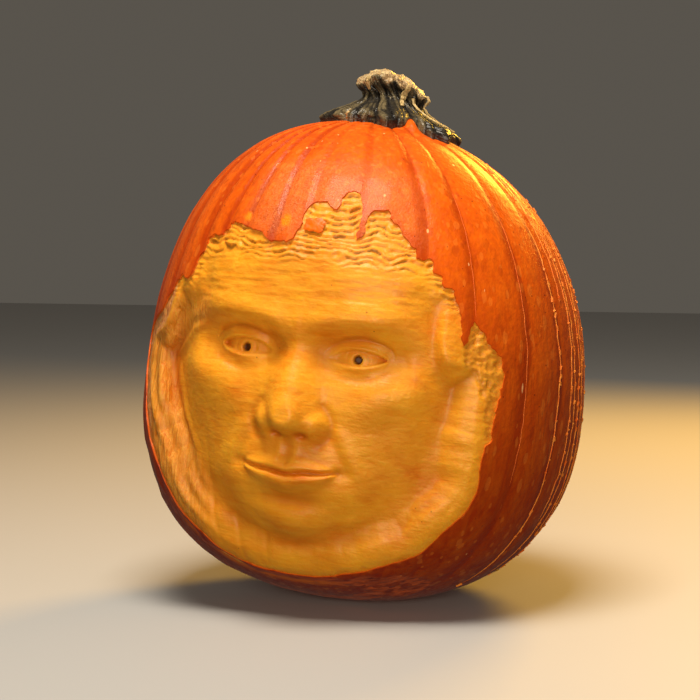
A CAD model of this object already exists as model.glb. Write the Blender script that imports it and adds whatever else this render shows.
"""Dresses the carved pumpkin: its relief of cut flesh, its torn rind and its dry stem.

The pumpkin's own frame has its origin in the middle of its widest level, +Z up its core and the
face towards -Y. Shapes are worked out there, in metres, then leaned and set down on the CAD model.
"""

import math

import bpy
import numpy as np
from mathutils import Matrix, Vector


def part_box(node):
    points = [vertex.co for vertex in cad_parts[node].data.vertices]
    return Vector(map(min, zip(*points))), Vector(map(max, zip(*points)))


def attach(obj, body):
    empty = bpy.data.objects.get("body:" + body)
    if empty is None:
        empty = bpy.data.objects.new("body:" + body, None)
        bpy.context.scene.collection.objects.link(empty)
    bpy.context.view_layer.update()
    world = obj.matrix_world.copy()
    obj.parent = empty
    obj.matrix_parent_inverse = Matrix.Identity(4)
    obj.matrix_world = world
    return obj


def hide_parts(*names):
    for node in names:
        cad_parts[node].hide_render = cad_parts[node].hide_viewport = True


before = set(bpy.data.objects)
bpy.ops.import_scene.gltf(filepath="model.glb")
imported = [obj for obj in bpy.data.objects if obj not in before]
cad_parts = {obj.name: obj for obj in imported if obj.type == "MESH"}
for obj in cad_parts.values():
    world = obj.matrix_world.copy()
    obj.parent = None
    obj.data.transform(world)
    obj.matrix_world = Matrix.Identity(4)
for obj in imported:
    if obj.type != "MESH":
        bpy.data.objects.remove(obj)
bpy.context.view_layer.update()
PUMPKIN_LOW, PUMPKIN_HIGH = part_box("pumpkin")

# ---- the uncut pumpkin, as the CAD model has it
GIRTH_RADIUS = 0.134
SHOULDER_HEIGHT = 0.168
BELLY_HEIGHT = 0.122
SHOULDER_POWER = 2.26
BELLY_POWER = 2.33
GROOVE_DEPTH = 0.0008
GROOVE_SPACING = 0.2  # about how far apart the grooves are, in radians
# The grooves from crown to foot: degrees from the face towards +X, and share of the full depth.
GROOVES = (
    (-69, 0.7), (-58, 0.9), (-47, 0.9), (-34.5, 1.3), (-26, 1.0), (-18.5, 1.1), (-8.5, 1.1), (1, 0.4),
    (16.5, 0.5), (33.5, 0.8), (46, 0.7), (63, 0.8), (77.5, 0.9), (87.5, 0.8), (99, 0.9), (110, 0.7),
    (121, 1.0), (133, 0.7), (145, 0.9), (156, 0.7), (168, 1.0), (180, 0.6), (192, 0.9), (204, 0.7),
    (215, 1.0), (227, 0.6), (238, 0.8), (249, 0.7), (261, 1.0), (272, 0.6), (282, 0.8), (291, 0.6),
)
HEAD_LEAN = math.radians(6.5)
BACK_LEAN = math.radians(3.0)
LEAN_AZIMUTH = math.radians(20.0)
BOW_REACH = 0.135  # the height, up or down, at which the core is set over by these
BOW_ABOVE = 0.0075
BOW_BELOW = 0.0045
RIND = 0.0010  # how thick the rind is

# ---- the patch where the rind is cut away, as the CAD model has it, with a finer fringe
# The rind's torn edge, in millimetres across and up, clockwise: the low left side, the fringe over
# the brow with its tabs, spike and tongue, the right side with its tongue and torn patch, the bottom.
TORN_EDGE = (
    (-117.5, 4), (-119, 12), (-119.5, 21), (-118, 30), (-112, 35), (-106, 38), (-99.5, 41.5), (-98, 47),
    (-95, 52), (-92, 57), (-88, 60.5), (-86, 63), (-83.5, 61.5), (-80.5, 59.5), (-77, 62), (-76, 68),
    (-74, 74), (-71.5, 77.5), (-69, 82), (-70, 84.5), (-65.5, 86.5), (-58.5, 87.5), (-58, 90),
    (-54.5, 91.5), (-54.5, 94), (-51, 95), (-45, 95), (-42.5, 93), (-35, 92), (-30.5, 90), (-26.5, 87),
    (-23.5, 85.5), (-19, 87), (-17, 86), (-11, 86.5), (-9.5, 87.5), (-9, 92.5), (-7.5, 95), (-6, 98),
    (-7, 102.5), (-6, 106.5), (-3, 109.5), (-1, 111), (4, 111), (6.5, 109), (9.5, 107.5), (11.5, 108),
    (12, 111), (12.5, 114), (13.5, 117), (16, 119), (20, 118), (22, 117), (23.5, 112), (25, 106),
    (26, 101), (26, 97), (25.5, 94), (26.5, 90.5), (28.5, 92.5), (29, 96.5), (28.5, 100.5), (29, 104),
    (30, 107), (31.5, 109), (35.5, 109.5), (38, 110), (40.5, 106.5), (43, 103.5), (46, 102), (48, 98),
    (50, 96), (53.5, 94), (55, 92), (57.5, 91), (59, 85), (62, 84.5), (65.5, 85), (67, 83.5), (68.5, 78),
    (70.5, 77), (72.5, 76), (75.5, 70.5), (80.5, 69), (82, 64), (84.5, 60.5), (86, 53), (87.5, 48.5),
    (88, 44), (90, 39), (91.5, 41), (91.5, 44.5), (91.5, 48), (92.5, 54), (95, 50.5), (98, 47.5),
    (100.5, 42), (104, 38.5), (107, 33.5), (108.5, 26.5), (109, 19), (108.5, 13), (107.5, 7.5), (107, -1),
    (106.5, -7.5), (106.5, -14), (104, -16), (103.5, -21), (103, -29), (102.5, -38.5), (100, -48),
    (96, -55), (92, -60.5), (86.5, -66), (83, -70), (80, -74.5), (77, -78), (72, -82), (65, -85.5),
    (58.5, -88.5), (53, -91), (45, -94), (34.5, -97.5), (23, -101), (11.5, -103), (-3, -103.5),
    (-16, -103), (-24, -102), (-32, -101), (-38.5, -99.5), (-45, -97), (-53, -92.5), (-60, -87.5),
    (-67, -82.5), (-74, -76.5), (-79.5, -70), (-86, -62), (-92, -53), (-98, -43.5), (-103.5, -34),
    (-109, -21), (-114, -8),
)
WALL_DEPTH = 0.0190  # how far the opening's wall goes in, and over what width
WALL_WIDTH = 0.030
LEDGE = 0.0100  # how wide the shaved rim is that the left side keeps outside its wall
# The torn patch on the right: height, where its inner side runs, and how wide it is kept shallow.
TORN_PATCH = (
    (-0.020, 0.1045, 0.0), (-0.010, 0.1035, 0.0025), (0.010, 0.1020, 0.0035), (0.020, 0.0960, 0.0050),
    (0.028, 0.0920, 0.0080), (0.041, 0.0890, 0.0080), (0.054, 0.0890, 0.0050), (0.060, 0.0890, 0.0),
)

# ---- the face, as the CAD model has it
FACE_SCALE = 1.07  # the whole face is made this much larger, about this height
FACE_ANCHOR = -0.060
FACE_MIDDLE = 0.005  # the height of the head's middle
# How far the head stands forward, by height; and how far it reaches, by degrees from straight up.
HEAD_PROFILE = (
    (-0.115, 0.065), (-0.100, 0.083), (-0.086, 0.094), (-0.072, 0.102), (-0.055, 0.1075),
    (-0.030, 0.112), (0.0, 0.115), (0.020, 0.118), (0.040, 0.122), (0.060, 0.1215),
    (0.080, 0.118), (0.100, 0.111), (0.120, 0.098),
)
HEAD_REACH = (
    (0, 0.118), (30, 0.112), (55, 0.095), (80, 0.0835), (100, 0.0810), (120, 0.0800),
    (140, 0.0830), (160, 0.0890), (180, 0.0905),
)
HEAD_FOLLOW = 0.60  # how much of the pumpkin's own curve the head follows
# Small forms, the same on both sides: across, up, half width, half height and rise.
FORMS = {
    "between brows": (0.0, 0.0330, 0.0110, 0.0080, 0.0014),
    "temple": (0.069, 0.046, 0.013, 0.024, -0.0050),
    "forehead": (0.026, 0.064, 0.022, 0.016, 0.0014),
    "socket": (0.0325, 0.0205, 0.0225, 0.0125, -0.0080),
    "socket, inner": (0.0165, 0.0215, 0.0075, 0.0090, -0.0062),
    "socket, outer": (0.053, 0.020, 0.009, 0.011, -0.0020),
    "cheekbone": (0.052, 0.0045, 0.017, 0.0125, 0.0044),
    "cheek": (0.038, -0.008, 0.017, 0.013, 0.0030),
    "cheek, hollow": (0.055, -0.034, 0.016, 0.017, -0.0026),
    "nose root": (0.0, -0.002, 0.022, 0.016, 0.0030),
    "nose tip": (0.0, -0.0145, 0.0095, 0.0072, 0.0030),
    "nostril": (0.0070, -0.0236, 0.0036, 0.0017, -0.0050),
    "muzzle": (0.0, -0.0415, 0.031, 0.017, 0.0048),
    "philtrum": (0.0, -0.0308, 0.0026, 0.0048, -0.0010),
    "philtrum ridge": (0.0048, -0.0312, 0.0022, 0.0048, 0.0006),
    "mouth corner": (0.0288, -0.0411, 0.0036, 0.0034, -0.0022),
    "under lip": (0.0, -0.0585, 0.019, 0.0042, -0.0038),
    "chin": (0.0, -0.0730, 0.020, 0.0105, 0.0058),
    "jowl": (0.036, -0.060, 0.016, 0.014, 0.0016),
}
BROW_RISE = 0.0038
EYE_ACROSS = 0.0315
EYE_UP = 0.0190
EYE_HALF_WIDTH = 0.0150
EYE_CORE = 0.0975
EYEBALL_RADIUS = 0.0140
LID_RADIUS = 0.0168
PUPIL_RADIUS = 0.0024
PUPIL_DEPTH = 0.0080
# The nose by height: how far its bridge rises, and its half width.
NOSE_RISE = (
    (-0.034, 0.0), (-0.0285, 0.0008), (-0.0250, 0.0045), (-0.0225, 0.0100), (-0.0190, 0.0150),
    (-0.0150, 0.0166), (-0.0100, 0.0158), (0.0, 0.0122), (0.0140, 0.0068), (0.0250, 0.0022),
    (0.0340, 0.0008), (0.0460, 0.0),
)
NOSE_HALF_WIDTH = (
    (-0.034, 0.0110), (-0.0190, 0.0132), (-0.0110, 0.0138), (0.0, 0.0124), (0.0140, 0.0112),
    (0.0250, 0.0108), (0.0460, 0.0150),
)
WING = (0.0128, -0.0174, 0.0066, 0.0072, 0.0098)  # across, up, half width, half height and rise
MOUTH_UP = -0.0435
MOUTH_HALF_WIDTH = 0.0268
UPPER_LIP = (0.0076, 0.0040)  # its height and its rise
LOWER_LIP = (0.0098, 0.0052)

# ---- the stem, as the CAD model has it
# The toes of its foot: degrees from the front, and reach.
STEM_TOES = (-76, -26, 13, 62, 112, 172, 230)
STEM_TOE_REACH = (0.0455, 0.0370, 0.0405, 0.0490, 0.0405, 0.0385, 0.0395)
STEM_VALLEY_REACH = 0.0275
STEM_NECK_RADIUS = 0.0164
STEM_CROWN_RADIUS = 0.0210
STEM_SUNK = 0.006
STEM_SWAY = -0.0045
# The cut top: its height over the crown, by place across.
STEM_TOP = (
    (-0.030, 0.0270), (-0.024, 0.0315), (-0.013, 0.0365), (-0.005, 0.0365), (0.006, 0.0325),
    (0.018, 0.0240), (0.030, 0.0160),
)
STEM_TOP_TILT = 0.20
# How much of the foot's spread is left, by share of the stem's height.
STEM_FLARE = (
    (0.0, 1.0), (0.12, 1.02), (0.26, 0.88), (0.38, 0.58), (0.50, 0.30), (0.62, 0.12),
    (0.76, 0.02), (0.88, 0.0), (1.0, 0.0),
)

# ---- how fine each piece is made
FLESH_COLUMNS = 330
FLESH_ROWS = 272
FLESH_HALF_WIDTH = 0.1240
FLESH_UP = 0.1290
FLESH_DOWN = 0.1120
FLESH_POWER = 2.7  # how round the patch of fine flesh is: 2 is an ellipse
RIND_COLUMNS = 460
RIND_ROWS = 200
LINING_COLUMNS = 150
LINING_ROWS = 90
OPENING_POINTS = 1800
EDGE_BLUR = 40  # points on each side that the smooth edge is averaged over
# How the edge strays: random seed, length of a stray, and its size where smooth and where torn.
EDGE_STRAYS = (
    (41, 0.0060, 0.0004, 0.0006), (43, 0.0027, 0.0001, 0.0007), (45, 0.0012, 0, 0.0002),
)
CUTTER_REACH = (0.90, 1.10)  # the opening's cutter, from inside the rind to outside it
STEM_COLUMNS = 400
STEM_ROWS = 150
STEM_SIDE = 0.86  # share of the stem's rows on its side, the rest lying on its cut top
# What each ring behind the flesh leaves of the way to the middle of the back.
BACK_RINGS = (0.95, 0.86, 0.84, 0.80, 0.74, 0.60, 0.35)
CHIP_PITCH = 0.0036  # the chisel's chips: from row to row, how proud they are, and how long
CHIP_RISE = 0.0022
CHIP_LENGTH = 0.0085
GOUGE_PITCH = 0.0088  # from one long gouge in the opening's wall to the next
CORE_DROP = 0.0050  # how far the core lies under the rind's inner side, away from the opening

# ---- what the rind and the stem carry
# Shaved facets under the opening: azimuth and rise in degrees, and depth.
FACETS = (
    (-58, -22, 0.0009), (-53, -31, 0.0011), (-47, -38, 0.0012), (-43, -47, 0.0015), (-36, -50, 0.0012),
    (-31, -56, 0.0016), (-24, -57, 0.0012), (-18, -60, 0.0016), (-10, -58, 0.0011), (-6, -63, 0.0016),
    (3, -60, 0.0014), (9, -57, 0.0010), (15, -61, 0.0014), (22, -56, 0.0010), (30, -58, 0.0013),
    (37, -52, 0.0010), (-38, -60, 0.0013), (-14, -66, 0.0014), (46, -50, 0.0009), (24, -64, 0.0013),
)
# Rind that rises between two toes: azimuth, reach, width and rise.
SWELLING = (36, 0.0300, 0.0042, 0.0060)
THIN_SPOTS = ((-0.0425, 0.0985, 0.0036), (-0.0165, 0.0975, 0.0042))  # shaved spots: x, z, radius
SCRAP = (0.0012, 0.0965, 0.0062, 0.0040)  # scrap of rind on the flesh: x, z, and its half sizes
SCRAP_PALENESS = 0.20
STEM_CORDS = 17  # cords up the stem's side, and how proud the broad and the thin ones are
CORD_RISE = 0.0036
THIN_CORD_RISE = 0.0011
# Corky seams: azimuth in degrees, upper end, lower end, width, and how pale and rough they are.
SEAMS = (
    (46.5, 0.128, 0.054, 0.0007, 0.25), (62.5, 0.140, -0.040, 0.0009, 0.35),
    (76.8, 0.158, -0.104, 0.0011, 1), (80.5, 0.154, 0.070, 0.0008, 0.8),
    (84, 0.156, -0.060, 0.0008, 0.9), (87.5, 0.152, -0.096, 0.0011, 1),
    (91, 0.154, -0.070, 0.0009, 0.9), (94.5, 0.150, -0.100, 0.0011, 1),
    (99, 0.154, -0.104, 0.0010, 1), (104, 0.150, -0.060, 0.0009, 0.9),
    (110, 0.152, -0.100, 0.0012, 1), (121, 0.140, -0.080, 0.0011, 0.8),
    (133, 0.135, -0.060, 0.0010, 0.7), (145, 0.130, -0.098, 0.0012, 0.9),
    (168, 0.120, -0.070, 0.0010, 0.8), (192, 0.130, -0.090, 0.0011, 0.9),
    (215, 0.135, -0.100, 0.0012, 0.8), (249, 0.110, -0.040, 0.0010, 0.7),
)
SEAM_SPURS = 28  # short side branches on a rough seam of the full height
SEAM_HEIGHT = 0.22
SEAM_POINTS = 1200  # points for each metre of a seam
# Loose fibres on the stem: (azimuth, share of height) at each end, width, and how far they bow out.
FIBRES = (
    ((-36, 0.02), (-32, 0.26), 0.0020, 0.0002), ((49, 0.97), (38, 0.62), 0.0034, 0.0012),
    ((34, 0.58), (30, 0.45), 0.0020, 0.0004), ((102, 0.98), (98, 0.55), 0.0012, 0.0026),
    ((60, 0.80), (66, 0.30), 0.0016, 0.0008), ((118, 0.85), (112, 0.30), 0.0020, 0.0006),
    ((200, 0.90), (206, 0.35), 0.0022, 0.0010), ((-20, 0.97), (-26, 0.74), 0.0026, 0.0010),
)

# ---- how it is seen and lit
CAMERA_AZIMUTH = 20
CAMERA_RISE = 5
CAMERA_LENS = 100.3
CAMERA_DISTANCE = 1.2
CAMERA_AIM = (-0.0082, 0.0295)  # right and up of the pumpkin's middle
FLOOR_SIZE = 8
FLOOR_TONE = (0.50, 0.49, 0.48, 1)
SKY_TONE = (0.90, 0.80, 0.66, 1)
SKY_STRENGTH = 0.11
# Lamps: azimuth and rise in degrees, distance, size, power and tint.
LAMPS = (
    ("key", 5, 72, 1.25, 0.55, 21, (1.0, 0.91, 0.76)),
    ("fill", 18, 2, 1.8, 0.9, 25, (1.0, 0.90, 0.74)),
    ("rim", 170, 30, 1.4, 0.4, 17, (1.0, 0.52, 0.05)),
)


# ---------------------------------------------------------------- curves and small shaping helpers
def ramp(value, low, high):
    """0 below low, 1 above high, and a smooth step between."""
    share = np.clip((value - low) / (high - low), 0, 1)
    return share * share * (3 - 2 * share)


def fade(value, low, high):
    """1 below low, 0 above high, and a smooth step between."""
    return 1 - ramp(value, low, high)


def bell(value, width):
    return np.exp(-((value / width) ** 2))


def hill(x, z, across, up, half_width, half_height):
    return np.exp(-(((x - across) / half_width) ** 2) - ((z - up) / half_height) ** 2)


def stacked(*columns):
    """Points whose coordinates are the given values or arrays of values."""
    return np.stack(np.broadcast_arrays(*columns), 1)


def heading(azimuth, rise):
    """The direction towards an azimuth and a rise in degrees, the face being at azimuth 0."""
    across, up = math.radians(azimuth), math.radians(rise)
    return math.sin(across) * math.cos(up), -math.cos(across) * math.cos(up), math.sin(up)


def beside(angle, reach):
    """A place across and back, at an angle from the front and a distance from the core."""
    return np.sin(angle) * reach, -np.cos(angle) * reach


def soft_max(a, b, width):
    share = np.clip(0.5 + 0.5 * (a - b) / width, 0, 1)
    return b + (a - b) * share + width * share * (1 - share)


def soft_min(a, b, width):
    return -soft_max(-a, -b, width)


def smooth_through(value, pairs):
    """The smooth curve through (place, size) pairs, read at each value."""
    places, sizes = np.array(pairs, float).T
    steps = np.diff(sizes) / np.diff(places)
    slopes = np.concatenate([steps[:1], (steps[1:] + steps[:-1]) / 2, steps[-1:]])
    slopes[1:-1][steps[1:] * steps[:-1] <= 0] = 0
    index = np.clip(np.searchsorted(places, value, side="right") - 1, 0, len(places) - 2)
    span = np.diff(places)[index]
    t = np.clip((value - places[index]) / span, 0, 1)
    start = (2 * t**3 - 3 * t**2 + 1) * sizes[index] + (t**3 - 2 * t**2 + t) * span * slopes[index]
    end = (3 * t**2 - 2 * t**3) * sizes[index + 1] + (t**3 - t**2) * span * slopes[index + 1]
    return start + end


def grain_noise(points, grain, seed):
    """Soft noise from -1 to 1 whose blobs are about the grain's size, one size or one per axis."""
    table = np.random.default_rng(seed).uniform(-1, 1, (32, 32, 32))
    place = points / np.asarray(grain)
    cell = np.floor(place).astype(int)
    part = place - cell
    part = part * part * (3 - 2 * part)
    total = np.zeros(len(points))
    for corner in np.ndindex(2, 2, 2):
        i, j, k = ((cell + corner) % 32).T
        total += table[i, j, k] * np.prod(np.where(corner, part, 1 - part), axis=1)
    return total


def rough_noise(points, grain, seed, octaves=3):
    """Noise with finer noise on it, each octave half the size and half as strong."""
    layers = [
        grain_noise(points + 0.37 * step, np.asarray(grain) / 2**step, seed + step) / 2**step
        for step in range(octaves)
    ]
    return sum(layers) / (2 - 0.5 ** (octaves - 1))


# ---------------------------------------------------------------- the uncut pumpkin
def half_shape(z):
    """The power and the height of the half that a point is in, the shoulder or the belly."""
    power = np.where(z >= 0, SHOULDER_POWER, BELLY_POWER)
    return power, np.where(z >= 0, SHOULDER_HEIGHT, BELLY_HEIGHT)


def girth(z):
    """The plain pumpkin's radius at a height."""
    power, height = half_shape(z)
    share = np.clip(np.abs(z) / height, 0, 1)
    return GIRTH_RADIUS * (1 - share**power) ** (1 / power)


def groove_place(azimuth, z):
    """How far an azimuth is from its nearest groove, as a share of the spacing, and that groove's depth."""
    places, shares = np.array(GROOVES, float).T
    wander = 0.8 * np.sin(23 * z + 3 * azimuth) + 0.5 * np.sin(61 * z + 7 * azimuth)
    turned = (np.degrees(azimuth) + wander - places[0]) % 360 + places[0]
    place = np.interp(turned, places, np.arange(len(places)))
    nearest = np.round(place)
    return place - nearest, shares[nearest.astype(int)]


def groove_dip(azimuth, z):
    """0 on a rib and about 1 in the deepest grooves."""
    near, share = groove_place(azimuth, z)
    line = 0.62 * bell(near, 0.10) - 0.14 * bell(near + 0.24, 0.09)
    dip = line + 0.20 * (1 + np.cos(2 * np.pi * near))
    return dip * share * (1 + 0.5 * ramp(z, 0.04, 0.13)) * (1 - 0.75 * ramp(-z, 0.06, 0.12))


def bow(z):
    """How far the core is set over at a height, along x and along y."""
    over = -np.where(z >= 0, BOW_ABOVE, BOW_BELOW) * (z / BOW_REACH) ** 2
    return over * math.cos(LEAN_AZIMUTH), over * math.sin(LEAN_AZIMUTH)


def straight_point(direction):
    """The grooved pumpkin's surface in each direction from its middle, before its core bows."""
    flat = np.hypot(direction[:, 0], direction[:, 1])
    power, height = half_shape(direction[:, 2])
    reach = ((flat / GIRTH_RADIUS) ** power + (np.abs(direction[:, 2]) / height) ** power) ** (-1 / power)
    point = direction * reach[:, None]
    azimuth = np.arctan2(point[:, 0], -point[:, 1])
    depth = GROOVE_DEPTH * groove_dip(azimuth, point[:, 2])
    depth = depth * ramp(np.hypot(point[:, 0], point[:, 1]), 0.004, 0.045)
    return point - direction * depth[:, None]


def bowed(point, way=1):
    across, back = bow(point[:, 2])
    return point + way * stacked(across, back, 0.0)


def pumpkin_point(direction):
    """The uncut, grooved pumpkin's surface, one point for each direction."""
    return bowed(straight_point(direction))


def plain_front(x, z):
    """How far the plain skin stands forward of the core."""
    across, back = bow(z)
    return np.sqrt(np.maximum(girth(z) ** 2 - (x - across) ** 2, 0)) - back


def grooved_front(x, z):
    """The same for the grooved skin."""
    across, back = bow(z)
    azimuth = np.arctan2(x - across, np.maximum(plain_front(x, z) + back, 1e-4))
    return plain_front(x, z) - GROOVE_DEPTH * groove_dip(azimuth, z) * np.cos(azimuth)


def facing(x, z):
    """How squarely the skin faces forward, from 1 in the middle towards 0 at the sides."""
    step = 0.001
    across = (plain_front(x + step, z) - plain_front(x - step, z)) / (2 * step)
    upward = (plain_front(x, z + step) - plain_front(x, z - step)) / (2 * step)
    return np.clip((1 + across**2 + upward**2) ** -0.5, 0.35, 1)


# ---------------------------------------------------------------- the face
def head_form(x, z):
    """The head's broad form: domed, and falling away towards its sides."""
    side = np.abs(x)
    angle = np.degrees(np.arctan2(side, z - FACE_MIDDLE))
    share = np.hypot(x, z - FACE_MIDDLE) / smooth_through(angle, HEAD_REACH)
    fall = 0.0070 * share**2.4 * ramp(side, 0, 0.06) + 0.0200 * ramp(share, 0.70, 1.16) ** 1.25
    curve = GIRTH_RADIUS - np.sqrt(GIRTH_RADIUS**2 - np.minimum(side, 0.115) ** 2)
    return smooth_through(z, HEAD_PROFILE) - fall - HEAD_FOLLOW * curve


def brow_ridge(x, z):
    side = np.abs(x)
    line = 0.0320 + 0.0070 * np.sin(np.clip((side - 0.008) / 0.056, 0, 1) * np.pi * 0.80)
    along = ramp(side, 0.002, 0.016) * fade(side, 0.040, 0.060)
    return BROW_RISE * bell(z - line, np.where(z > line, 0.0095, 0.0056)) * along


def nose(x, z):
    side = np.abs(x)
    bridge = smooth_through(z, NOSE_RISE)
    bridge = bridge * np.exp(-0.95 * np.abs(side / smooth_through(z, NOSE_HALF_WIDTH)) ** 2.3)
    across, up, half_width, half_height, rise = WING
    away = ((side - across) / half_width) ** 2 + ((z - up) / half_height) ** 2
    wing = rise * np.exp(-0.85 * away**1.5)
    groove = -0.0012 * bell(np.sqrt(away) - 1.5, 0.34) * ramp(side, 0.0125, 0.0175)
    return soft_max(bridge, wing, 0.0042) - 0.0004 + groove


def lips(x, z):
    side = np.abs(x)
    share = np.clip(side / MOUTH_HALF_WIDTH, 0, 1.2)
    closed = np.clip(1 - share**2, 0, None)
    line = MOUTH_UP + 0.0026 * share**2.2
    line = line - 0.0007 * bell(side, 0.006) + 0.0004 * bell(side - 0.010, 0.005)
    bow = 0.0010 * bell(side - 0.0048, 0.0032) - 0.0010 * bell(side, 0.0026)
    up = (z - line) / np.maximum(UPPER_LIP[0] * closed**0.75 + bow, 1e-4)
    down = (line - z) / np.maximum(LOWER_LIP[0] * closed**0.62, 1e-4)
    upper = UPPER_LIP[1] * closed**0.6 * bell(np.clip(up, 0, 4) - 0.34, 0.60)
    lower = LOWER_LIP[1] * closed**0.5 * bell(np.clip(down, 0, 4) - 0.44, 0.50)
    crease = -0.0032 * bell(z - line, 0.0011) * fade(share, 0.96, 1.08)
    return np.where(z >= line, upper, lower) + crease


def smile_fold(x, z):
    out = np.abs(x) - 0.0195 + (z + 0.018) * 0.55
    along = ramp(-z, 0.014, 0.022) * fade(-z, 0.034, 0.050)
    return (0.0012 * bell(out - 0.0065, 0.0055) - 0.0011 * bell(out, 0.0032)) * along


def eyes(x, z, base):
    """Lids over an eyeball, set into the face's form."""
    side = np.abs(x)
    across = (side - EYE_ACROSS) / EYE_HALF_WIDTH
    arch = np.clip(1 - across**2, 0, None)
    axis = EYE_UP + 0.0011 * across
    upper_edge = axis + 0.0054 * arch**0.70 * (1 - 0.14 * across)
    lower_edge = axis - 0.0038 * arch**0.85 * (1 + 0.15 * across)
    away = np.hypot(side - EYE_ACROSS, z - EYE_UP)
    ball = EYE_CORE + np.sqrt(np.maximum(EYEBALL_RADIUS**2 - away**2, 0))
    lid = EYE_CORE + np.sqrt(np.maximum(LID_RADIUS**2 - away**2, 0))
    lid = np.where(away < LID_RADIUS, lid + 0.0006 * hill(side, z, EYE_ACROSS, 0.0255, 0.011, 0.003), 0)
    face = soft_max(base, lid, 0.0042)
    arc = np.clip(1 - (across / 1.28) ** 2, 0, None) ** 0.5
    crease = bell(z - EYE_UP - 0.0014 * across - 0.0108 * arc, 0.0012) * ramp(arc, 0.05, 0.60)
    pouch = bell(z - EYE_UP + 0.0112 * arc - 0.0004, 0.0018) * ramp(arc, 0.25, 0.80)
    inside = np.minimum(upper_edge - z, z - lower_edge)
    rim = 0.0008 * bell(inside + 0.0010, 0.0011) * fade(np.abs(across), 0.98, 1.10)
    face = face - 0.0018 * crease - 0.0007 * pouch + rim
    iris = 0.0006 * bell(away - 0.0059, 0.0006) + 0.0003 * fade(away, 0.0055, 0.0060)
    shade = 0.0010 * bell(upper_edge - z, 0.0016)
    open_share = ramp(inside, -0.0002, 0.0009) * (np.abs(across) < 1)
    pupil = PUPIL_DEPTH * fade(away, PUPIL_RADIUS - 0.0005, PUPIL_RADIUS + 0.0002)
    eye = np.minimum(ball - iris - shade, face - 0.0010) - pupil
    return face + (eye - face) * open_share


def face_place(x, z):
    """A place on the pumpkin in the face's own measures."""
    return x / FACE_SCALE, (z - FACE_ANCHOR) / FACE_SCALE + FACE_ANCHOR


def face_front(x, z):
    """How far the face stands forward of the core."""
    x, z = face_place(x, z)
    side = np.abs(x)
    front = head_form(x, z) + brow_ridge(x, z) + nose(x, z) + lips(x, z) + smile_fold(x, z)
    for across, up, half_width, half_height, rise in FORMS.values():
        front = front + rise * hill(side, z, across, up, half_width, half_height)
    return eyes(x, z, front)


# ---------------------------------------------------------------- the opening in the rind
def torn_edge():
    """Evenly spaced points along the torn edge, rough over the brow and smooth below."""
    corners = np.array(TORN_EDGE + TORN_EDGE[:1], float) / 1000
    run = np.concatenate([[0], np.cumsum(np.hypot(*np.diff(corners, axis=0).T))])
    place = np.linspace(0, run[-1], OPENING_POINTS, endpoint=False)
    edge = np.stack([np.interp(place, run, line) for line in corners.T], 1)
    kernel = bell(np.arange(-EDGE_BLUR, EDGE_BLUR + 1), 14)
    wrapped = np.concatenate([edge[-EDGE_BLUR:], edge, edge[:EDGE_BLUR]])
    even = np.stack([np.convolve(line, kernel / kernel.sum(), "valid") for line in wrapped.T], 1)
    toothed = ramp(edge[:, 0], 0.080, 0.090) * ramp(edge[:, 1], -0.020, -0.010)
    torn = np.maximum(ramp(edge[:, 1], 0.040, 0.055), toothed)
    edge = even + (edge - even) * torn[:, None]
    spot = stacked(edge[:, 0], 0.0, edge[:, 1])
    stray = np.zeros_like(edge)
    for seed, grain, least, most in EDGE_STRAYS:
        share = least + (most - least) * torn
        for axis in (0, 1):
            stray[:, axis] += share * grain_noise(spot, grain, seed + 100 * axis)
    return edge + stray


EDGE = torn_edge()


def edge_distance(x, z):
    """How far a point is inside the torn edge; outside it the distance counts as less than 0."""
    after = np.roll(EDGE, -1, axis=0)
    away = np.empty(len(x))
    for first in range(0, len(x), 2000):
        part = slice(first, first + 2000)
        px, pz = x[part, None], z[part, None]
        near = np.argmin((px - EDGE[:, 0]) ** 2 + (pz - EDGE[:, 1]) ** 2, axis=1)
        closest = np.full(len(near), 1.0)
        for start in (near, near - 1):
            line = after[start] - EDGE[start]
            gap = np.stack([x[part], z[part]], 1) - EDGE[start]
            share = np.clip((gap * line).sum(1) / (line**2).sum(1), 0, 1)
            closest = np.minimum(closest, np.linalg.norm(gap - share[:, None] * line, axis=1))
        crosses = (EDGE[:, 1] > pz) != (after[:, 1] > pz)
        rise = np.where(after[:, 1] == EDGE[:, 1], 1, after[:, 1] - EDGE[:, 1])
        where = EDGE[:, 0] + (pz - EDGE[:, 1]) * (after[:, 0] - EDGE[:, 0]) / rise
        inside = (crosses & (px < where)).sum(1) % 2 == 1
        away[part] = np.where(inside, closest, -closest)
    return away


def ledge(x, z):
    """How wide the opening's rim stays shallow: shaved on the left, torn on the right."""
    left = LEDGE * ramp(-x, 0.085, 0.098) * ramp(z, -0.045, -0.005) * fade(z, 0.048, 0.060)
    heights, _, widths = np.array(TORN_PATCH).T
    return left + np.interp(z, heights, widths) * ramp(x, 0.070, 0.085)


def torn_patch(x, z):
    """1 on the torn patch on the right, 0 away from it."""
    heights, sides, _ = np.array(TORN_PATCH).T
    spot = stacked(x, 0.0, z)
    side = np.interp(z, heights, sides) + 0.0012 * grain_noise(spot, 0.0040, 21)
    return ramp(x - side, -0.0006, 0.0012) * ramp(z, -0.019, -0.015) * fade(z, 0.058, 0.060)


def flesh_front(x, z):
    """How far the flesh stands forward of the core: the relief, and under the rind its inner side."""
    inward = edge_distance(x, z)
    under_rind = grooved_front(x, z) - RIND / facing(x, z)
    floor = under_rind - WALL_DEPTH * ramp(inward - ledge(x, z), 0, WALL_WIDTH)
    carved = soft_min(soft_max(face_front(x, z), floor, 0.006), under_rind, 0.0012)
    return np.where(inward > 0, carved, under_rind - CORE_DROP * ramp(-inward, 0.0012, 0.007)), inward


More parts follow.
